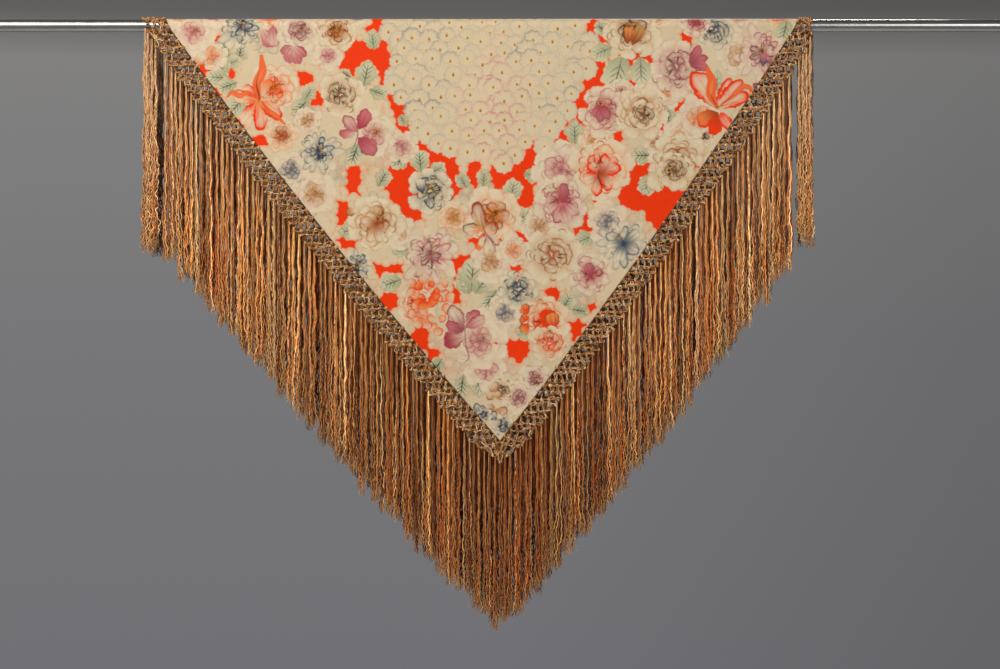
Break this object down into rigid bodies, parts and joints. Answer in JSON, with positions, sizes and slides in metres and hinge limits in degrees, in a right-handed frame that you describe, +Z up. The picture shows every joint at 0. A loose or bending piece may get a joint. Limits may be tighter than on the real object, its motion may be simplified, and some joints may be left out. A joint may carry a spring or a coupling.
{
  "type": "fringed shawl",
  "caption": "Square printed silk shawl with a knotted header and a long fringe on every side, folded corner to corner so that it hangs over a rail.",
  "frame": {"origin": "on the axis that the fold curves round, half way along the fold, where the rail runs", "axes": "+X along the rail, -Y to the front, +Z up"},
  "size_m": [1.414, 0.042, 1.2742],
  "materials": {
    "silk": "printed silk twill, low sheen",
    "hem": "rolled and whipped edge",
    "header": "knotted rayon floss",
    "fringe": "crinkled rayon floss, soft gloss"
  },
  "bodies": {
    "fold": {"silk_fold": "silk", "hem_fold_left": "hem", "header_fold_left": "header", "hem_fold_right": "hem", "header_fold_right": "header"},
    "front_flap": {"silk_front": "silk", "hem_front_left": "hem", "header_front_left": "header", "hem_front_right": "hem", "header_front_right": "header"},
    "back_flap": {"silk_back": "silk", "hem_back_left": "hem", "header_back_left": "header", "hem_back_right": "hem", "header_back_right": "header"},
    "fringe_front_left_corner": {"fringe_front_left_corner": "fringe"},
    "fringe_front_left_upper": {"fringe_front_left_upper": "fringe"},
    "fringe_front_left_middle": {"fringe_front_left_middle": "fringe"},
    "fringe_front_left_lower": {"fringe_front_left_lower": "fringe"},
    "fringe_front_right_corner": {"fringe_front_right_corner": "fringe"},
    "fringe_front_right_upper": {"fringe_front_right_upper": "fringe"},
    "fringe_front_right_middle": {"fringe_front_right_middle": "fringe"},
    "fringe_front_right_lower": {"fringe_front_right_lower": "fringe"},
    "fringe_front_apex": {"fringe_front_apex": "fringe"},
    "fringe_back_left_corner": {"fringe_back_left_corner": "fringe"},
    "fringe_back_left_upper": {"fringe_back_left_upper": "fringe"},
    "fringe_back_left_middle": {"fringe_back_left_middle": "fringe"},
    "fringe_back_left_lower": {"fringe_back_left_lower": "fringe"},
    "fringe_back_right_corner": {"fringe_back_right_corner": "fringe"},
    "fringe_back_right_upper": {"fringe_back_right_upper": "fringe"},
    "fringe_back_right_middle": {"fringe_back_right_middle": "fringe"},
    "fringe_back_right_lower": {"fringe_back_right_lower": "fringe"},
    "fringe_back_apex": {"fringe_back_apex": "fringe"}
  },
  "joints": [
    {"name": "lift_front", "type": "hinge", "parent": "fold", "child": "front_flap", "pos_m": [0, -0.0203, 0], "axis": [-1, 0, 0], "range_deg": [0, 80]},
    {"name": "lift_back", "type": "hinge", "parent": "fold", "child": "back_flap", "pos_m": [0, 0.0203, 0], "axis": [1, 0, 0], "range_deg": [0, 80]},
    {"name": "swing_front_left_corner", "type": "hinge", "parent": "front_flap", "child": "fringe_front_left_corner", "pos_m": [-0.693, -0.019, -0.04039], "axis": [-0.5905, 0, 0.807], "range_deg": [0, 30]},
    {"name": "swing_front_left_upper", "type": "hinge", "parent": "front_flap", "child": "fringe_front_left_upper", "pos_m": [-0.5565, -0.019, -0.22197], "axis": [-0.6031, 0, 0.7977], "range_deg": [0, 30]},
    {"name": "swing_front_left_middle", "type": "hinge", "parent": "front_flap", "child": "fringe_front_left_middle", "pos_m": [-0.3295, -0.019, -0.51267], "axis": [-0.6281, 0, 0.7782], "range_deg": [0, 30]},
    {"name": "swing_front_left_lower", "type": "hinge", "parent": "front_flap", "child": "fringe_front_left_lower", "pos_m": [-0.1025, -0.019, -0.78595], "axis": [-0.6501, 0, 0.7598], "range_deg": [0, 30]},
    {"name": "swing_front_right_corner", "type": "hinge", "parent": "front_flap", "child": "fringe_front_right_corner", "pos_m": [0.675, -0.019, -0.0696], "axis": [-0.5451, 0, -0.8383], "range_deg": [0, 30]},
    {"name": "swing_front_right_upper", "type": "hinge", "parent": "front_flap", "child": "fringe_front_right_upper", "pos_m": [0.55417, -0.019, -0.24979], "axis": [-0.56, 0, -0.8285], "range_deg": [0, 30]},
    {"name": "swing_front_right_middle", "type": "hinge", "parent": "front_flap", "child": "fringe_front_right_middle", "pos_m": [0.3585, -0.019, -0.53001], "axis": [-0.5854, 0, -0.8108], "range_deg": [0, 30]},
    {"name": "swing_front_right_lower", "type": "hinge", "parent": "front_flap", "child": "fringe_front_right_lower", "pos_m": [0.16283, -0.019, -0.79296], "axis": [-0.6089, 0, -0.7932], "range_deg": [0, 30]},
    {"name": "swing_front_apex", "type": "hinge", "parent": "front_flap", "child": "fringe_front_apex", "pos_m": [0.038, -0.019, -0.92], "axis": [-1, 0, 0], "range_deg": [0, 30]},
    {"name": "swing_back_left_corner", "type": "hinge", "parent": "back_flap", "child": "fringe_back_left_corner", "pos_m": [-0.693, 0.019, -0.04039], "axis": [0.5905, 0, -0.807], "range_deg": [0, 30]},
    {"name": "swing_back_left_upper", "type": "hinge", "parent": "back_flap", "child": "fringe_back_left_upper", "pos_m": [-0.5565, 0.019, -0.22197], "axis": [0.6031, 0, -0.7977], "range_deg": [0, 30]},
    {"name": "swing_back_left_middle", "type": "hinge", "parent": "back_flap", "child": "fringe_back_left_middle", "pos_m": [-0.3295, 0.019, -0.51267], "axis": [0.6281, 0, -0.7782], "range_deg": [0, 30]},
    {"name": "swing_back_left_lower", "type": "hinge", "parent": "back_flap", "child": "fringe_back_left_lower", "pos_m": [-0.1025, 0.019, -0.78595], "axis": [0.6501, 0, -0.7598], "range_deg": [0, 30]},
    {"name": "swing_back_right_corner", "type": "hinge", "parent": "back_flap", "child": "fringe_back_right_corner", "pos_m": [0.675, 0.019, -0.0696], "axis": [0.5451, 0, 0.8383], "range_deg": [0, 30]},
    {"name": "swing_back_right_upper", "type": "hinge", "parent": "back_flap", "child": "fringe_back_right_upper", "pos_m": [0.55417, 0.019, -0.24979], "axis": [0.56, 0, 0.8285], "range_deg": [0, 30]},
    {"name": "swing_back_right_middle", "type": "hinge", "parent": "back_flap", "child": "fringe_back_right_middle", "pos_m": [0.3585, 0.019, -0.53001], "axis": [0.5854, 0, 0.8108], "range_deg": [0, 30]},
    {"name": "swing_back_right_lower", "type": "hinge", "parent": "back_flap", "child": "fringe_back_right_lower", "pos_m": [0.16283, 0.019, -0.79296], "axis": [0.6089, 0, 0.7932], "range_deg": [0, 30]},
    {"name": "swing_back_apex", "type": "hinge", "parent": "back_flap", "child": "fringe_back_apex", "pos_m": [0.038, 0.019, -0.92], "axis": [1, 0, 0], "range_deg": [0, 30]}
  ]
}
